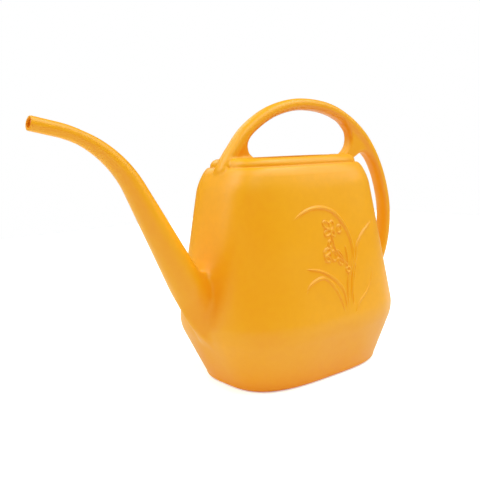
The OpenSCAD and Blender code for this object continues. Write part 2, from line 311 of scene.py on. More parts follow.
TIP = np.array([-205.8, 194.7])
TIP_SLOPE = math.radians(12.9)
STEM_SLOPE = math.radians(61.9)
NOZZLE_L = 16.7
NOZZLE_R = 4.6
BORE_R = 3.2
GOOSENECK_R = 78.3
TAPER_START = 33.0
TAPER = 0.061
# The root's own field starts at one distance; its piece meets the stem's further up, past the fillet
ROOT_START = 160.0
ROOT_SEAM = 146.0
GOOSENECK_L = GOOSENECK_R * (STEM_SLOPE - TIP_SLOPE)
STEM_START = NOZZLE_L + GOOSENECK_L
SPOUT_ANGLES = np.arange(96) * 2 * math.pi / 96


def spout_slope(s):
    return TIP_SLOPE + np.clip((s - NOZZLE_L) / GOOSENECK_R, 0, STEM_SLOPE - TIP_SLOPE)


def spout_way(s):
    """The centreline's direction, down towards the tank."""
    q = float(spout_slope(s))
    return np.array([math.cos(q), 0, -math.sin(q)])


def spout_centre(s):
    """Centreline as x and z."""
    q = spout_slope(s)
    near, far = np.minimum(s, NOZZLE_L), np.maximum(s - STEM_START, 0)
    x = TIP[0] + near * math.cos(TIP_SLOPE) + far * np.cos(q)
    z = TIP[1] - near * math.sin(TIP_SLOPE) - far * np.sin(q)
    x = x + GOOSENECK_R * (np.sin(q) - math.sin(TIP_SLOPE))
    z = z - GOOSENECK_R * (math.cos(TIP_SLOPE) - np.cos(q))
    return float(x), float(z)


def spout_r(s):
    return NOZZLE_R + TAPER * np.maximum(s - TAPER_START, 0)


def spout_bore(s):
    grow = np.clip((s - NOZZLE_L) / GOOSENECK_L, 0, 1)
    widening = mix(BORE_R, spout_r(STEM_START) - WALL, grow)
    return np.where(s < STEM_START, widening, spout_r(s) - WALL)


def spout_rings(stops, radii, growth=0, out=1.0):
    """Rings round the centreline and their normals; growth is the radius's change per millimetre."""
    points, normals = [], []
    for s, r, g in zip(stops, radii, np.broadcast_to(growth, len(stops))):
        way = spout_way(s)
        x, z = spout_centre(s)
        up = np.array([-way[2], 0, way[0]])
        side = np.array([0, -1.0, 0])
        radial = np.cos(SPOUT_ANGLES)[:, None] * up + np.sin(SPOUT_ANGLES)[:, None] * side
        points.append(np.array([x, 0, z]) + r * radial)
        n = radial - g * way
        normals.append(out * n / np.linalg.norm(n, axis=1, keepdims=True))
    return np.stack(points), np.stack(normals)


def spout_length(name, start, end, step, lip=False):
    """One length of the spout as a tube; lip rounds its start over as the outlet."""
    skin = Skin()
    rows = max(2, int(round((end - start) / step)) + 1)
    if lip:
        edge = (NOZZLE_R - BORE_R) / 2
        points, normals = [], []
        for a in HALF_TURN:
            r = (NOZZLE_R + BORE_R) / 2 + edge * math.cos(a)
            p, n = spout_rings([edge - edge * math.sin(a)], [r])
            points.append(p[0])
            normals.append(n[0] * math.cos(a) - spout_way(0) * math.sin(a))
        skin.grid(np.stack(points)[::-1], np.stack(normals)[::-1])
        start = edge
    stops = np.linspace(start, end, rows)
    outer, outer_normals = spout_rings(stops, spout_r(stops), np.where(stops > TAPER_START, TAPER, 0))
    inner, inner_normals = spout_rings(stops, spout_bore(stops), out=-1.0)
    skin.grid(outer, outer_normals)
    skin.grid(inner[::-1], inner_normals[::-1])
    skin.flat([outer[-1], inner[-1]], spout_way(end))
    if not lip:
        skin.flat([inner[0], outer[0]], -spout_way(start))
    return skin.made(name)


# ---- Handle: one route in the plane y = 0, as x and z; places on it are counted in points -----

ROUTE = np.array([
    [-66.5, 156], [-63, 163.5], [-55, 174], [-40, 189.5], [-15, 203], [16.5, 208.5], [52.5, 203],
    [85, 184], [106, 157], [117.35, 124], [116.5, 94.5], [107, 71], [92, 58.5], [74, 53]], float)
# The handle's section: half thickness in the plane, half width across it, exponent
GRIP_T = 4.6
GRIP_W = 6.3
GRIP_N = 2.3
GRIP_ANGLES = np.arange(72) * 2 * math.pi / 72
# Where the pieces of the handle meet
FOOT_TO, YOKE_FROM, YOKE_TO, STRAP_TO = 3.7, 5.6, 9.0, 11.0


def spline_at(points, u):
    """A smooth curve through points, at positions counted in points, and its direction."""
    last = len(points) - 1
    padded = np.vstack([2 * points[0] - points[1], points, 2 * points[-1] - points[-2]])
    u = np.clip(np.asarray(u, float), 0, last)
    i = np.minimum(np.floor(u).astype(int), last - 1)
    t = (u - i)[:, None]
    p0, p1, p2, p3 = (padded[i + k] for k in range(4))
    c1, c2, c3 = p2 - p0, 2 * p0 - 5 * p1 + 4 * p2 - p3, 3 * p1 - p0 - 3 * p2 + p3
    at = 0.5 * (2 * p1 + c1 * t + c2 * t ** 2 + c3 * t ** 3)
    way = 0.5 * (c1 + 2 * c2 * t + 3 * c3 * t ** 2)
    return at, way / np.linalg.norm(way, axis=1, keepdims=True)


def route_at(u):
    """A point on the route and the direction there, in three dimensions."""
    at, way = spline_at(ROUTE, [u])
    return np.array([at[0][0], 0, at[0][1]]), np.array([way[0][0], 0, way[0][1]])


def grip_ring(u, by=0.0):
    p, way = route_at(u)
    c, s = np.cos(GRIP_ANGLES), np.sin(GRIP_ANGLES)
    r = (np.abs(c) ** GRIP_N + np.abs(s) ** GRIP_N) ** (-1 / GRIP_N)
    t, w = GRIP_T - by, GRIP_W - by
    out, side = t * c * r, -w * s * r
    points = np.stack([p[0] - way[2] * out, side, p[2] + way[0] * out], 1)
    no = np.sign(c) * np.abs(c * r) ** (GRIP_N - 1) / t
    ns = -np.sign(s) * np.abs(s * r) ** (GRIP_N - 1) / w
    n = np.stack([-way[2] * no, ns, way[0] * no], 1)
    return points, n / np.linalg.norm(n, axis=1, keepdims=True)


def handle_length(name, start, end, rows):
    """One length of the handle as a tube."""
    skin = Skin()
    stops = np.linspace(start, end, rows)
    outer, outer_normals = map(np.stack, zip(*(grip_ring(u) for u in stops)))
    inner, inner_normals = map(np.stack, zip(*(grip_ring(u, WALL) for u in stops)))
    skin.grid(outer, outer_normals)
    skin.grid(inner[::-1], -inner_normals[::-1])
    skin.flat([outer[-1], inner[-1]], route_at(end)[1])
    skin.flat([inner[0], outer[0]], -route_at(start)[1])
    return skin.made(name)


# ---- Fields: signed distances and their joins, for the moulded junctions -----------------------

# The lower wall's line is carried on down to here, under the floor
WALL_BOTTOM = -10.0
# The shoulder leans in over no more than this height
SHOULDER_REACH = 12
# Cosine of the walls' lean, which turns a distance in plan into a distance from the wall
WALL_LEAN = 0.985
ROUTE_SAMPLES = 1600
ROUTE_LEAD = np.linspace(1, 12, 12)[:, None]
CHUNK = 4000
# The spout's root grows narrower over its first millimetres past the start: it is drawn in from just
# above the axis to just below it, in radii, and then towards a keel
SQUEEZE_RUN = 28
NARROW, NARROW_FROM, NARROW_TO = 0.55, -0.9, 0.3
KEEL, KEEL_END = 1.3, 1.3
# A bevel along the keel's lower edge: a point on it and its direction in x and z, and its rounding
RIDGE_AT = np.array([-99.6, 51.6])
RIDGE_OUT = np.array([-0.787, -0.617])
RIDGE_SOFT = 5.0
# The root fades into the wall below this height
ROOT_FADE_Z, ROOT_FADE = 42, 0.03
# The root's fillet is small below and large above the crotch, and fades out before the seam
FILLET_LOW, FILLET_HIGH, FILLET_SEAM = 6.0, 21.0, 0.5
CROTCH_FROM, CROTCH_TO = 72, 88
SEAM_FADE_FROM = -3
# The root's piece ends in an ellipse on the wall: its middle's height, half height and half width
BORDER_Z, BORDER_H, BORDER_W, BORDER_SCALE = 76, 54, 36, 42
# The handle's fade below a height, and its piece's border as a share of the fillet's size
HANDLE_FADE = 0.12
HANDLE_BORDER = 0.7
# A moulded piece stands this far proud of the tank, and reaches this far into it
PROUD = 0.03
SUNK = 1.5
BURIED = 0.4
NET_STEP = 0.7
DRAWN_IN = 0.02


def tank_state(z):
    """The wall's section at each height, as columns, rounded at the belly and the neck."""
    table = np.array([raised(BASE, WALL_BOTTOM), BASE] + lower_profile(0)[1:-1] + upper_profile(0))
    table[0][:2] = mix(BASE, BELLY, (WALL_BOTTOM - BASE[3]) / (BELLY[3] - BASE[3]))[:2]
    return [np.interp(z, table[:, 3], table[:, k]) for k in (0, 1, 2, 4)]


def oval_distance(x, y, a, b, cx, n):
    """Near distance, in plan, from a superellipse."""
    u, v = np.abs(x - cx) / a, np.abs(y) / b
    rho = np.maximum((u ** n + v ** n) ** (1 / n), 1e-6)
    gx = (u / rho) ** (n - 1) / a
    gy = (v / rho) ** (n - 1) / b
    return (rho - 1) / np.sqrt(gx ** 2 + gy ** 2)


def rounded(dx, dz, rx, rz):
    """A corner profile: dx and dz are distances past its two faces, rx and rz its rounding's size."""
    px, pz = dx + rx, dz + rz
    qx, qz = np.maximum(px, 0) / rx, np.maximum(pz, 0) / rz
    rho = np.sqrt(qx ** 2 + qz ** 2)
    g = np.sqrt((qx / rx) ** 2 + (qz / rz) ** 2) / np.maximum(rho, 1e-9)
    return np.where((px > 0) & (pz > 0), (rho - 1) / np.maximum(g, 1e-9), np.maximum(dx, dz))


def tank_field(p):
    x, y, z = p[..., 0], p[..., 1], p[..., 2]
    a, b, cx, n = tank_state(np.minimum(z, SHOULDER[3]))
    above = SHOULDER_SLOPE * np.clip(z - SHOULDER[3], 0, SHOULDER_REACH)
    wall = oval_distance(x, y, a - above, b - above, cx, n) * WALL_LEAN
    rise = DECK_Z - SHOULDER[3]
    body = rounded(wall, z - DECK_Z, SHOULDER_R - SHOULDER_SLOPE * rise, rise)
    half_l, half_w = COLLAR[0] - COLLAR_DRAFT, COLLAR[1] - COLLAR_DRAFT
    side = oval_distance(x, y, half_l, half_w, COLLAR[2], COLLAR[4])
    return np.minimum(body, rounded(side, z - COLLAR_TOP, COLLAR_R, COLLAR_R))


def nearest_on_route(xz):
    """Signed distance from the route in its own plane, outside the loop being positive."""
    at, way = spline_at(ROUTE, np.linspace(0, len(ROUTE) - 1, ROUTE_SAMPLES))
    at = np.vstack([at[0] - way[0] * ROUTE_LEAD[::-1], at, at[-1] + way[-1] * ROUTE_LEAD])
    rows = len(ROUTE_LEAD)
    way = np.vstack([np.repeat(way[:1], rows, 0), way, np.repeat(way[-1:], rows, 0)])
    out = np.empty(len(xz))
    for i in range(0, len(xz), CHUNK):
        some = xz[i:i + CHUNK]
        best = np.argmin(((some[:, None] - at[None]) ** 2).sum(-1), axis=1)
        d, off = way[best], some - at[best]
        out[i:i + CHUNK] = off[:, 1] * d[:, 0] - off[:, 0] * d[:, 1]
    return out


def distance_to_outline(xz, outline):
    """Signed distance from a closed outline, inside being negative."""
    a, b = outline, np.roll(outline, -1, 0)
    edge = b - a
    out = np.empty(len(xz))
    for i in range(0, len(xz), CHUNK):
        some = xz[i:i + CHUNK, None]
        k = some - a[None]
        t = np.clip((k * edge).sum(-1) / (edge ** 2).sum(-1), 0, 1)
        gap = np.sqrt(((k - edge * t[..., None]) ** 2).sum(-1)).min(1)
        above, past = a[None, :, 1] > some[..., 1], b[None, :, 1] > some[..., 1]
        side = k[..., 0] * edge[None, :, 1] - k[..., 1] * edge[None, :, 0]
        crossed = (above != past) & ((side < 0) == (edge[None, :, 1] > 0))
        out[i:i + CHUNK] = np.where(crossed.sum(1) % 2 == 1, -gap, gap)
    return out


class Chart:
    """A function of x and z sampled once on a grid, then read back smoothly between its points."""

    def __init__(self, function, low, high, pitch=0.4):
        self.low = np.array([low[0], low[2]], float) - 3 * pitch
        size = ((np.array([high[0], high[2]]) + 3 * pitch - self.low) / pitch).astype(int) + 1
        i, j = np.meshgrid(np.arange(size[0]), np.arange(size[1]), indexing="ij")
        xz = np.stack([i, j], -1).reshape(-1, 2) * pitch + self.low
        self.pitch, self.table = pitch, function(xz).reshape(size)

    def __call__(self, p):
        at = (p[..., [0, 2]] - self.low) / self.pitch
        cell = np.clip(np.floor(at).astype(int), 1, np.array(self.table.shape) - 3)
        t = at - cell
        weights = [0.5 * np.stack([-f + 2 * f ** 2 - f ** 3, 2 - 5 * f ** 2 + 3 * f ** 3,
                                   f + 4 * f ** 2 - 3 * f ** 3, f ** 3 - f ** 2], -1)
                   for f in (t[..., 0], t[..., 1])]
        total = 0
        for a in range(4):
            for b in range(4):
                value = self.table[cell[..., 0] + a - 1, cell[..., 1] + b - 1]
                total = total + weights[0][..., a] * weights[1][..., b] * value
        return total


def grip_field(w, y):
    """Near distance from the handle's section, at w across its plane and y along its width."""
    a, b = np.abs(w) / GRIP_T, np.abs(y) / GRIP_W
    rho = np.maximum((a ** GRIP_N + b ** GRIP_N) ** (1 / GRIP_N), 1e-6)
    slope = np.hypot((a / rho) ** (GRIP_N - 1) / GRIP_T, (b / rho) ** (GRIP_N - 1) / GRIP_W)
    return (rho - 1) / slope


def smooth_outline(points, count):
    """A closed curve through points."""
    p = np.asarray(points, float)
    wrapped = np.vstack([p[-2:], p, p[:3]])
    return spline_at(wrapped, np.linspace(2, 2 + len(p), count, endpoint=False))[0]


def slab(flat, y, half, edge):
    """A plate of the given half thickness with rounded edges."""
    dx, dy = flat + edge, np.abs(y) - half + edge
    return np.minimum(np.maximum(dx, dy), 0) + np.hypot(np.maximum(dx, 0), np.maximum(dy, 0)) - edge


def join(a, b, k):
    """The union of two fields with a fillet whose size is set by k."""
    h = np.maximum(k - np.abs(a - b), 0) / k
    return np.minimum(a, b) - h ** 3 * k / 6


def trim(a, b, k):
    """What two fields share, with its edge rounded."""
    return -join(-a, -b, k)


def on_stem(p):
    """How far a point lies past the root's start along the stem's line, and how far above that line."""
    x0, z0 = spout_centre(ROOT_START)
    c, s = math.cos(STEM_SLOPE), math.sin(STEM_SLOPE)
    rx, rz = p[..., 0] - x0, p[..., 2] - z0
    return rx * c - rz * s, rz * c + rx * s


def spout_field(p):
    """The spout's cone from the root's start on into the tank, drawn in below towards a keel."""
    past, above = on_stem(p)
    full = spout_r(ROOT_START) + TAPER * past
    below = np.clip(-above / full, 0, KEEL_END)
    drawn_in = NARROW * smoothstep(NARROW_FROM, NARROW_TO, -above / full)
    squeeze = 1 + smoothstep(0, SQUEEZE_RUN, past) * (drawn_in + KEEL * below ** 2)
    r = np.maximum(np.hypot(above, p[..., 1] * squeeze), 1e-3)
    steep = np.maximum(np.hypot(above, p[..., 1] * squeeze ** 2) / r, 1)
    return (r - full) / steep


def root_parts(low, high):
    """The spout's root joined to the tank: a wide fillet on top, a tight one below, none at the seam."""
    def parts(p):
        z = p[..., 2]
        tank = tank_field(p)
        bevel = (p[..., 0] - RIDGE_AT[0]) * RIDGE_OUT[0] + (z - RIDGE_AT[1]) * RIDGE_OUT[1]
        fade = ROOT_FADE * np.maximum(ROOT_FADE_Z - z, 0) ** 2
        own = trim(spout_field(p), bevel, RIDGE_SOFT) + fade
        to_seam = smoothstep(SEAM_FADE_FROM, ROOT_START - ROOT_SEAM - 1, -on_stem(p)[0])
        k = mix(FILLET_LOW, FILLET_HIGH, smoothstep(CROTCH_FROM, CROTCH_TO, z))
        k = mix(k, FILLET_SEAM, to_seam)
        border = np.hypot((z - BORDER_Z) / BORDER_H, p[..., 1] / BORDER_W) * BORDER_SCALE - BORDER_SCALE
        return join(tank, own, k), tank, border
    return parts


FRONT_WEB = smooth_outline([
    [-62, 162], [-58, 171], [-48, 182], [-43, 188], [-40, 189], [-41, 186], [-42.6, 182.3], [-43.2, 178.5],
    [-42.8, 175.2], [-41.8, 172.4], [-39.0, 168.8], [-38, 164], [-50, 160]], 160)
REAR_WEB = smooth_outline([
    [50, 160], [54, 166.5], [60.5, 168], [65.2, 171], [68.4, 174.6], [69.8, 178], [70.2, 181.3],
    [69.6, 185], [67.6, 188.6], [65.5, 191.5], [64.5, 196], [71, 196], [87, 184], [98, 170], [104, 160],
    [107, 151], [103.2, 155.8], [100.8, 158.6], [98.3, 161.2], [95, 163.9], [91.9, 166.4], [89.2, 167.9],
    [86.2, 168.5], [82.9, 168.2], [79.7, 166.8], [71.7, 162.2], [62.6, 153.6]], 280)


def handle_parts(outline, half, edge, inner_k, outer_k, fade_below):
    """The handle with a web inside it, joined to the tank; its section fades away below a height."""
    def parts_in(low, high):
        route = Chart(nearest_on_route, low, high)
        web = None
        if outline is not None:
            web = Chart(lambda xz: distance_to_outline(xz, outline), low, high)

        def parts(p):
            tank = tank_field(p)
            fade = HANDLE_FADE * np.maximum(fade_below - p[..., 2], 0) ** 2
            own = grip_field(route(p), p[..., 1]) + fade
            if web:
                own = join(own, slab(web(p), p[..., 1], half, edge), inner_k)
            return join(tank, own, outer_k), tank, own - HANDLE_BORDER * outer_k
        return parts
    return parts_in


front_foot_parts = handle_parts(FRONT_WEB, 5.0, 3.0, 4.5, 4.5, 162)
rear_yoke_parts = handle_parts(REAR_WEB, 4.8, 3.0, 5.0, 5.0, 0)
strap_foot_parts = handle_parts(None, 0, 0, 0, 7.0, 0)


# ---- Meshes from fields --------------------------------------------------------------------------

def others(axis):
    return [k for k in range(3) if k != axis]


def shifted(cells, axis, da, db):
    """Cells moved by da and db along the two other axes."""
    c = cells.copy()
    one, two = others(axis)
    c[..., one] += da
    c[..., two] += db
    return c


def surface_net(values, origin, step):
    """Quads on the zero surface of a sampled field: one point in each cell that it crosses."""
    inside = values < 0
    cells = tuple(n - 1 for n in values.shape)
    total, count = np.zeros(cells + (3,)), np.zeros(cells)
    crossings = []

    def within(c):
        return np.all((c >= 0) & (c < np.array(cells)), axis=1)

    for axis in range(3):
        lo = tuple(slice(0, -1) if k == axis else slice(None) for k in range(3))
        hi = tuple(slice(1, None) if k == axis else slice(None) for k in range(3))
        where = np.argwhere(inside[lo] != inside[hi])
        f0, f1 = values[lo][tuple(where.T)], values[hi][tuple(where.T)]
        at = where.astype(float)
        at[:, axis] += f0 / (f0 - f1)
        for da, db in ((0, 0), (0, 1), (1, 0), (1, 1)):
            c = shifted(where, axis, -da, -db)
            ok = within(c)
            np.add.at(total, tuple(c[ok].T), at[ok])
            np.add.at(count, tuple(c[ok].T), 1)
        crossings.append((axis, where, f0 < 0))
    used = count > 0
    number = -np.ones(cells, int)
    number[used] = np.arange(used.sum())
    points = total[used] / count[used][:, None] * step + origin
    quads = []
    for axis, where, below in crossings:
        loop = [shifted(where, axis, -da, -db) for da, db in ((1, 1), (0, 1), (0, 0), (1, 0))]
        ok = np.all([within(c) for c in loop], axis=0)
        ids = np.stack([number[tuple(c[ok].T)] for c in loop], 1)
        flip = below[ok] if axis != 1 else ~below[ok]
        ids[~flip] = ids[~flip][:, ::-1]
        quads.append(ids)
    return points, np.concatenate(quads)


def without_checkers(values, step):
    """Where a grid face's corners are inside and outside by turns, one outer corner is drawn in, so that
    the net stays closed with two faces at each edge."""
    halves = (slice(0, -1), slice(1, None))
    around = ((0, 0), (1, 0), (1, 1), (0, 1))
    clean = False
    while not clean:
        inside, clean = values < 0, True
        for axis in range(3):
            one, two = others(axis)
            sides = []
            for da, db in around:
                cut = [slice(None)] * 3
                cut[one], cut[two] = halves[da], halves[db]
                sides.append(inside[tuple(cut)])
            a, b, c, d = sides
            for cell in np.argwhere((a == c) & (b == d) & (a != b)):
                corners = [tuple(shifted(cell, axis, da, db)) for da, db in around]
                outside = [q for q in corners if values[q] >= 0]
                if outside:
                    outer = min(outside, key=values.__getitem__)
                    values[outer] = -DRAWN_IN * step
                    clean = False
    return values


def gradient(field, p, h=0.02):
    g = np.empty(p.shape)
    for k in range(3):
        e = np.zeros(3)
        e[k] = h
        g[..., k] = (field(p + e) - field(p - e)) / (2 * h)
    return g


def lens(joined, tank, border):
    """What a join adds to the tank, down to a skin inside the tank's wall, and within its border."""
    return np.maximum(np.maximum(joined - PROUD, border), -(tank + SUNK))


def moulded(name, parts, low, high, step, cuts):
    """A closed mesh of what a join adds to the tank inside a box, drawn on to the joined skin and shaded
    by it. Each cut is a point and a direction: what lies past it is cut off flat."""
    axes = [np.arange(a, b + step, step) for a, b in zip(low, high)]
    values = lens(*parts(np.stack(np.meshgrid(*axes, indexing="ij"), -1)))
    points, quads = surface_net(without_checkers(values, step), np.array(low, float), step)

    def skin(p):
        return parts(p)[0]

    _, tank, border = parts(points)
    free = (border < -step / 2) & (tank > -SUNK / 2)
    for _ in range(3):
        some = points[free]
        g = gradient(skin, some)
        move = (skin(some) - PROUD)[:, None] * g / np.maximum((g ** 2).sum(1, keepdims=True), 0.25)
        points[free] = some - np.clip(move, -step / 2, step / 2)
    mesh = bpy.data.meshes.new(name)
    mesh.from_pydata(points.tolist(), [], quads.tolist())
    bm = bmesh.new()
    bm.from_mesh(mesh)
    bpy.data.meshes.remove(mesh)
    capped = []
    for at, way in cuts:
        at, way = Vector(at), Vector(way)
        cut = bmesh.ops.bisect_plane(bm, geom=bm.verts[:] + bm.edges[:] + bm.faces[:], dist=1e-5,
                                     plane_co=at, plane_no=way, clear_outer=True)
        edges = [e for e in cut["geom_cut"] if isinstance(e, bmesh.types.BMEdge)]
        capped += bmesh.ops.triangle_fill(bm, edges=edges, use_beauty=True, normal=way)["geom"]
    bm.faces.index_update()
    caps = {f.index for f in capped if isinstance(f, bmesh.types.BMFace) and f.is_valid}
    bm.verts.index_update()
    co = np.array([v.co[:] for v in bm.verts])
    deep = parts(co)[1] < -BURIED
    g = gradient(skin, co)
    n = g / np.maximum(np.linalg.norm(g, axis=1, keepdims=True), 1e-9)
    faces, corners = [], []
    for f in bm.faces:
        ids = [v.index for v in f.verts]
        own_normal = np.array(f.normal)
        buried = f.index in caps or all(deep[i] for i in ids)
        faces.append(ids)
        corners.extend(own_normal if buried or own_normal @ n[i] < 0 else n[i] for i in ids)
    bm.free()
    return mesh_object(name, co, faces, corners)


# ---- Flower relief: a plain spray of leaves and blooms, raised from the side wall --------------------

RELIEF_LOW = np.array([-42.0, 46.0])
RELIEF_SIZE = (230, 225)
RELIEF_PITCH = 0.4
# The field's height beside the lines, just under the wall, and how far its back is sunk in the wall
RELIEF_EDGE = -0.12
RELIEF_SINK = 0.6
# A leaf's width at its tips as a share of its middle's, and the shares of its length that it grows over
LEAF_TIP, LEAF_GROWS, LEAF_SHRINKS = 0.4, 1 / 4, 1 / 3
# A petal's raised outline, half its width and its height, and the height inside it
PETAL_LINE, PETAL_RISE, PETAL_FLOOR = 1.4, 0.95, 0.12

# Each leaf or stem: half width at its middle, height, and its line as x and z
LEAVES = [
    (2.2, 1.2, [[3.5, 49], [5, 72], [11, 84], [16, 94], [15.5, 104], [11, 115.5], [3, 125], [-6, 130],
                [-18, 131.5], [-29, 129.5], [-41, 123.5]]),
    (1.9, 1.1, [[6.5, 58], [12, 80], [18, 91], [21.5, 100], [31, 109], [46, 116.5]]),
    (1.7, 0.9, [[1.5, 53], [0.5, 68], [-4, 75.5], [-12, 82], [-22, 87], [-35, 89.5]]),
    (1.7, 0.9, [[-0.5, 51], [-5, 66], [-11, 76], [-18, 81], [-26, 80.5], [-33, 77.5], [-38, 72]]),
    (1.3, 0.7, [[9, 50], [15, 57.5], [25, 64], [32, 71], [36.5, 79.5]]),
    (1.3, 0.8, [[8.5, 56], [10.5, 70], [14.5, 80], [18, 87]]),
    (1.2, 0.9, [[8, 84], [7.2, 88], [3, 93], [-2.5, 100], [-4.5, 108], [-6, 113]]),
    (1.0, 0.8, [[7.2, 88], [2, 97], [-2.5, 100]]),
    (1.6, 0.9, [[8.6, 88], [8.9, 95], [8.2, 101.5]]),
]
# Each petal: centre x and z, half length, half width, turn in degrees
PETALS = [
    (-8.6, 118.2, 3.6, 2.4, 150), (-3.4, 117.6, 3.2, 2.0, 60), (-8.2, 112.6, 3.6, 2.0, 200),
    (-3.2, 112.0, 2.6, 1.7, 310), (4.2, 114.2, 2.7, 2.3, 60), (-7.6, 104.4, 2.2, 1.6, 80),
    (-11.6, 99.0, 3.8, 2.1, 25), (-5.6, 95.6, 3.9, 2.5, 100), (-12.0, 93.8, 2.8, 1.8, 330),
    (0.6, 90.6, 2.6, 1.5, 130), (8.0, 83.6, 2.2, 1.7, 0),
]


def side_wall(x, z):
    """How far out the side wall stands at x and z."""
    a, b, cx, n = tank_state(z)
    return b * np.maximum(1 - np.abs((x - cx) / a) ** n, 0) ** (1 / n)


def along(xz, line):
    """Distance from a line, and how far along the line the nearest point is, from 0 to 1."""
    best, where = np.full(len(xz), 1e9), np.zeros(len(xz))
    for i in range(len(line) - 1):
        a, edge = line[i], line[i + 1] - line[i]
        t = np.clip(((xz - a) @ edge) / (edge @ edge), 0, 1)
        gap = np.hypot(*(xz - a - t[:, None] * edge).T)
        near = gap < best
        best = np.where(near, gap, best)
        where = np.where(near, (i + t) / (len(line) - 1), where)
    return best, where


def bump(q):
    return np.maximum(1 - q ** 2, 0) ** 2


def relief_height(xz):
    """Height above the wall; it falls below the wall beside the lines."""
    height = np.full(len(xz), RELIEF_EDGE)
    for half, rise, points in LEAVES:
        stops = np.linspace(0, len(points) - 1, 9 * len(points))
        gap, t = along(xz, spline_at(np.array(points, float), stops)[0])
        ends = mix(LEAF_TIP, 1, np.clip(np.minimum(t / LEAF_GROWS, (1 - t) / LEAF_SHRINKS), 0, 1))
        fade = smoothstep(0, 0.12, t) * smoothstep(0, 0.1, 1 - t)
        leaf = (rise * fade - RELIEF_EDGE) * bump(gap / (half * ends))
        height = np.maximum(height, RELIEF_EDGE + leaf)
    turn = np.linspace(0, 2 * math.pi, 25)
    for x, z, long, wide, angle in PETALS:
        c, s = math.cos(math.radians(angle)), math.sin(math.radians(angle))
        oval = np.stack([long * np.cos(turn), wide * np.sin(turn)], 1)
        gap, _ = along(xz, oval @ np.array([[c, s], [-s, c]]) + (x, z))
        height = np.maximum(height, RELIEF_EDGE + (PETAL_RISE - RELIEF_EDGE) * bump(gap / PETAL_LINE))
        inner = np.hypot(*((xz - (x, z)) @ np.array([[c / long, -s / wide], [s / long, c / wide]])).T)
        height = np.maximum(height, np.where(inner < 1, PETAL_FLOOR, RELIEF_EDGE))
    return height


def relief_cells(height):
    """The grid cells that the relief covers, with none that touch only at a corner."""
    peak = np.maximum.reduce([height[:-1, :-1], height[1:, :-1], height[:-1, 1:], height[1:, 1:]])
    cells = peak > RELIEF_EDGE + 0.02
    while True:
        a, b, c, d = cells[:-1, :-1], cells[1:, :-1], cells[:-1, 1:], cells[1:, 1:]
        slant = (a & d & ~b & ~c) | (b & c & ~a & ~d)
        if not slant.any():
            return cells
        for quarter in (a, b, c, d):
            quarter[slant] = True


def relief_piece(name, side):
    size = RELIEF_SIZE
    i, j = np.meshgrid(np.arange(size[0]), np.arange(size[1]), indexing="ij")
    xz = np.stack([i, j], -1).reshape(-1, 2) * RELIEF_PITCH + RELIEF_LOW

    def out_to(p):
        return side_wall(p[:, 0], p[:, 1]) + relief_height(p)

    cells = relief_cells(relief_height(xz).reshape(size))
    used = np.zeros(size, bool)
    for di in (0, 1):
        for dj in (0, 1):
            used[di:size[0] - 1 + di, dj:size[1] - 1 + dj] |= cells
    number = -np.ones(size, int)
    number[used] = np.arange(used.sum())
    p = xz.reshape(size + (2,))[used]
    h = 0.05
    slope = [(out_to(p + e) - out_to(p - e)) / (2 * h) for e in h * np.eye(2)]
    normals = np.stack([-slope[0], np.ones(len(p)), -slope[1]], 1)
    normals /= np.linalg.norm(normals, axis=1, keepdims=True)
    normals[:, 1] *= side
    front = np.stack([p[:, 0], side * out_to(p), p[:, 1]], 1)
    back = np.stack([p[:, 0], side * (side_wall(p[:, 0], p[:, 1]) - RELIEF_SINK), p[:, 1]], 1)
    n = len(p)
    at = np.argwhere(cells)
    loop = [number[at[:, 0] + di, at[:, 1] + dj] for di, dj in ((0, 0), (0, 1), (1, 1), (1, 0))]
    quads = np.stack(loop if side > 0 else loop[::-1], 1)
    faces = quads.tolist() + (quads[:, ::-1] + n).tolist()
    corners = list(normals[quads].reshape(-1, 3))
    corners += [(0, -side, 0)] * (4 * len(quads))
    both = np.vstack([front, back])
    edges = {(face[k - 1], face[k]): True for face in quads.tolist() for k in range(4)}
    for a, b in edges:
        if (b, a) not in edges:
            wall = [b, a, a + n, b + n]
            way = np.cross(both[wall[1]] - both[wall[0]], both[wall[3]] - both[wall[0]])
            faces.append(wall)
            corners += [way / np.linalg.norm(way)] * 4
    return mesh_object(name, both, faces, corners)


# ---- Materials ------------------------------------------------------------------------------------

ROUGHNESS = 0.38
CLOUD_DARK, CLOUD_LIGHT = (0.845, 0.345, 0.004), (0.875, 0.365, 0.007)
GRAIN_DARK, GRAIN_LIGHT = (0.975, 0.97, 0.96), (1, 1, 1)
PAPER_DARK, PAPER_LIGHT = (0.93, 0.93, 0.93, 1), (0.96, 0.96, 0.96, 1)
FLOOR_GLOW = 0.4


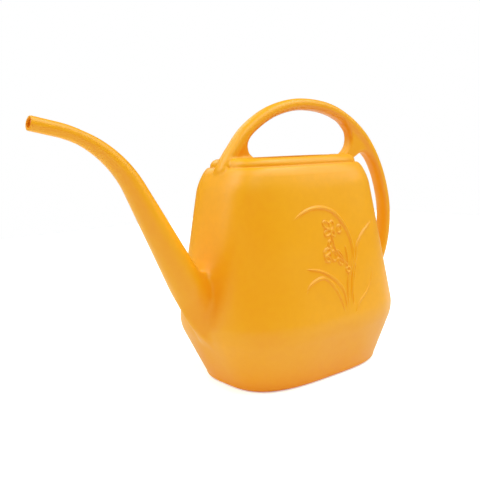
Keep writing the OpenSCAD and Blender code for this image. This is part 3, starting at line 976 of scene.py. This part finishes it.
def plastic(name):
    """Moulded polyethylene: an even orange with faint clouding, a fine pebbled skin and light scuffs."""
    mat = bpy.data.materials.new(name)
    mat.use_nodes = True
    nodes, links = mat.node_tree.nodes, mat.node_tree.links
    shader = nodes["Principled BSDF"]
    shader.inputs["IOR"].default_value = 1.5
    shader.inputs["Specular IOR Level"].default_value = 0.3
    place = nodes.new("ShaderNodeTexCoord").outputs["Object"]

    def noise(scale, detail):
        n = nodes.new("ShaderNodeTexNoise")
        n.inputs["Scale"].default_value = scale
        n.inputs["Detail"].default_value = detail
        links.new(place, n.inputs["Vector"])
        return n.outputs["Fac"]

    def ramp(value, *stops):
        r = nodes.new("ShaderNodeValToRGB")
        for e, (at, colour) in zip(r.color_ramp.elements, stops):
            e.position = at
            e.color = colour + (1,)
        links.new(value, r.inputs["Fac"])
        return r.outputs["Color"]

    def bumps(strength, distance, height):
        b = nodes.new("ShaderNodeBump")
        b.inputs["Strength"].default_value = strength
        b.inputs["Distance"].default_value = distance
        links.new(height, b.inputs["Height"])
        return b

    cloud = ramp(noise(14, 3), (0.3, CLOUD_DARK), (0.7, CLOUD_LIGHT))
    grain = ramp(noise(210, 3), (0.35, GRAIN_DARK), (0.65, GRAIN_LIGHT))
    colour = nodes.new("ShaderNodeMix")
    colour.data_type = "RGBA"
    colour.blend_type = "MULTIPLY"
    colour.inputs["Factor"].default_value = 1.0
    links.new(cloud, colour.inputs["A"])
    links.new(grain, colour.inputs["B"])
    links.new(colour.outputs["Result"], shader.inputs["Base Color"])

    scuffs = ramp(noise(38, 2), (0.4, (ROUGHNESS - 0.02,) * 3), (0.7, (ROUGHNESS + 0.06,) * 3))
    links.new(scuffs, shader.inputs["Roughness"])

    skin = bumps(0.06, 0.00012, noise(1400, 2))
    wave = bumps(0.12, 0.0006, noise(32, 2))
    links.new(skin.outputs["Normal"], wave.inputs["Normal"])
    links.new(wave.outputs["Normal"], shader.inputs["Normal"])
    return mat


def seen_as(tree, plain, seen, output):
    """In a floor's or world's node tree, the camera sees one shader and the light another."""
    nodes, links = tree.nodes, tree.links
    path = nodes.new("ShaderNodeLightPath")
    either = nodes.new("ShaderNodeMixShader")
    links.new(path.outputs["Is Camera Ray"], either.inputs["Fac"])
    links.new(plain, either.inputs[1])
    links.new(seen, either.inputs[2])
    links.new(either.outputs["Shader"], nodes[output].inputs["Surface"])


def floor_material():
    """Near-white paper, with a little glow for the camera only, so that it comes out white."""
    mat = bpy.data.materials.new("studio_paper")
    mat.use_nodes = True
    nodes, links = mat.node_tree.nodes, mat.node_tree.links
    shader = nodes["Principled BSDF"]
    n = nodes.new("ShaderNodeTexNoise")
    n.inputs["Scale"].default_value = 3
    r = nodes.new("ShaderNodeValToRGB")
    r.color_ramp.elements[0].color = PAPER_DARK
    r.color_ramp.elements[1].color = PAPER_LIGHT
    links.new(n.outputs["Fac"], r.inputs["Fac"])
    links.new(r.outputs["Color"], shader.inputs["Base Color"])
    shader.inputs["Roughness"].default_value = 0.9
    shader.inputs["Specular IOR Level"].default_value = 0.1
    glow = nodes.new("ShaderNodeEmission")
    glow.inputs["Strength"].default_value = FLOOR_GLOW
    both = nodes.new("ShaderNodeAddShader")
    links.new(shader.outputs["BSDF"], both.inputs[0])
    links.new(glow.outputs["Emission"], both.inputs[1])
    seen_as(mat.node_tree, shader.outputs["BSDF"], both.outputs["Shader"], "Material Output")
    return mat


SLOTS = ("tank_plastic", "spout_plastic", "handle_plastic", "relief_plastic")
PLASTIC = {slot: plastic("orange_" + slot) for slot in SLOTS}


# ---- The can ------------------------------------------------------------------------------------

def keep(obj, slot, *nodes):
    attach(obj, "root")
    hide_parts(*nodes)
    obj.data.materials.append(PLASTIC[slot])


def junction(name, parts, low, high, cuts, slot, *nodes):
    keep(moulded(name, parts(low, high), low, high, NET_STEP, cuts), slot, *nodes)


def route_cut(u, sign):
    at, way = route_at(u)
    return at, sign * way


keep(base_piece(), "tank_plastic", "base_panel")
keep(wall_piece("lower_wall_moulded", lower_profile), "tank_plastic", "lower_wall")
keep(wall_piece("upper_wall_moulded", upper_profile), "tank_plastic", "upper_wall")
keep(shoulder_piece(), "tank_plastic", "shoulder")
keep(collar_piece(), "tank_plastic", "mouth_collar")
keep(spout_length("spout_nozzle_moulded", 0, NOZZLE_L, 1.0, lip=True), "spout_plastic", "spout_nozzle")
keep(spout_length("spout_gooseneck_moulded", NOZZLE_L, STEM_START, 1.0), "spout_plastic", "spout_gooseneck")
keep(spout_length("spout_stem_moulded", STEM_START, ROOT_SEAM, 2.0), "spout_plastic", "spout_stem")

keep(handle_length("handle_grip_moulded", FOOT_TO, YOKE_FROM, 60), "handle_plastic", "handle_grip")
keep(handle_length("handle_rear_strap_moulded", YOKE_TO, STRAP_TO, 40), "handle_plastic", "handle_rear_strap")

seam_x, seam_z = spout_centre(ROOT_SEAM)
junction("spout_root_moulded", root_parts, (-126, -38, 19), (-58, 38, 133),
         [((seam_x, 0, seam_z), -spout_way(ROOT_SEAM))], "spout_plastic", "spout_root")
junction("handle_front_foot_moulded", front_foot_parts, (-78, -13, 140), (-12, 13, 216),
         [route_cut(FOOT_TO, 1)], "handle_plastic", "handle_front_post", "handle_front_web")
junction("handle_rear_yoke_moulded", rear_yoke_parts, (30, -14, 118), (128, 14, 216),
         [route_cut(YOKE_FROM, -1), route_cut(YOKE_TO, 1)], "handle_plastic", "handle_rear_web")
junction("handle_strap_foot_moulded", strap_foot_parts, (64, -22, 30), (118, 22, 84),
         [route_cut(STRAP_TO, -1)], "handle_plastic", "handle_strap_foot")

keep(relief_piece("flower_relief_left_moulded", -1), "relief_plastic", "flower_relief_left")
keep(relief_piece("flower_relief_right_moulded", 1), "relief_plastic", "flower_relief_right")

# ---- Floor, light and camera ------------------------------------------------------------------------

scene = bpy.context.scene
floor_mesh = bpy.data.meshes.new("floor")
floor_mesh.from_pydata([(-1, -1, 0), (1, -1, 0), (1, 1, 0), (-1, 1, 0)], [], [(0, 1, 2, 3)])
floor = bpy.data.objects.new("floor", floor_mesh)
floor.data.materials.append(floor_material())
scene.collection.objects.link(floor)

# A little less red in the lights, which the plastic gives back
LIGHT_TINT = (0.92, 1, 1)
LIGHTS_AIM = Vector((0, 0, 0.1))
# Each light: name, azimuth from +X towards +Y and elevation in degrees, distance, size, power
LIGHTS = (
    ("left_side", 147, 21, 1.8, 1.0, 7.7),
    ("left_back", 150, 50, 1.9, 1.0, 17.4),
    ("back", 85, 38, 1.9, 1.0, 7.0),
    ("front", -128, 52, 1.9, 1.2, 5.6),
    ("front_top", -110, 68, 1.9, 1.0, 11.4),
    ("right_side", -30, 30, 1.9, 1.0, 8.3),
    ("right_front", -60, 55, 1.9, 1.0, 10.6),
    ("right_top", -20, 60, 1.9, 1.0, 13.3),
)


def softbox(name, azimuth, elevation, away, size, power):
    """A square light aimed at the can."""
    light = bpy.data.lights.new(name, "AREA")
    light.size = size
    light.energy = power
    light.color = LIGHT_TINT
    obj = bpy.data.objects.new(name, light)
    a, e = math.radians(azimuth), math.radians(elevation)
    way = Vector((math.cos(a) * math.cos(e), math.sin(a) * math.cos(e), math.sin(e)))
    obj.location = LIGHTS_AIM + away * way
    obj.rotation_euler = way.to_track_quat("Z", "Y").to_euler()
    scene.collection.objects.link(obj)


for row in LIGHTS:
    softbox(*row)

WORLD_LIGHT = 0.08
world = bpy.data.worlds.new("studio")
scene.world = world
world.use_nodes = True
dim = world.node_tree.nodes["Background"]
dim.inputs["Color"].default_value = (1, 1, 1, 1)
dim.inputs["Strength"].default_value = WORLD_LIGHT
white = world.node_tree.nodes.new("ShaderNodeBackground")
white.inputs["Color"].default_value = (1, 1, 1, 1)
seen_as(world.node_tree, dim.outputs["Background"], white.outputs["Background"], "World Output")

CAMERA_AT = Vector((-351.30, -370.02, 176.09)) * MM
CAMERA_RIGHT = Vector((0.772762, -0.633748, -0.034691))
CAMERA_UP = Vector((0.116442, 0.087830, 0.989306))
CAMERA_FORWARD = Vector((0.623924, 0.768537, -0.141666))
CAMERA_LENS, CAMERA_SENSOR = 48.24, 36
lens_data = bpy.data.cameras.new("camera")
lens_data.lens = CAMERA_LENS
lens_data.sensor_width = CAMERA_SENSOR
lens_data.clip_start, lens_data.clip_end = 0.01, 50
camera = bpy.data.objects.new("camera", lens_data)
turn = Matrix((CAMERA_RIGHT, CAMERA_UP, -CAMERA_FORWARD)).transposed()
camera.matrix_world = Matrix.Translation(CAMERA_AT) @ turn.to_4x4()
scene.collection.objects.link(camera)
scene.camera = camera

# The photograph's red hardly darkens in shade, so red is lifted there
RED_CURVE = ((0.35, 0.48), (0.62, 0.75), (0.78, 0.835), (0.88, 0.87))
view = scene.view_settings
view.view_transform = "Standard"
view.use_curve_mapping = True
view.curve_mapping.use_clip = False
for x, y in RED_CURVE:
    view.curve_mapping.curves[0].points.new(x, y)
view.curve_mapping.update()
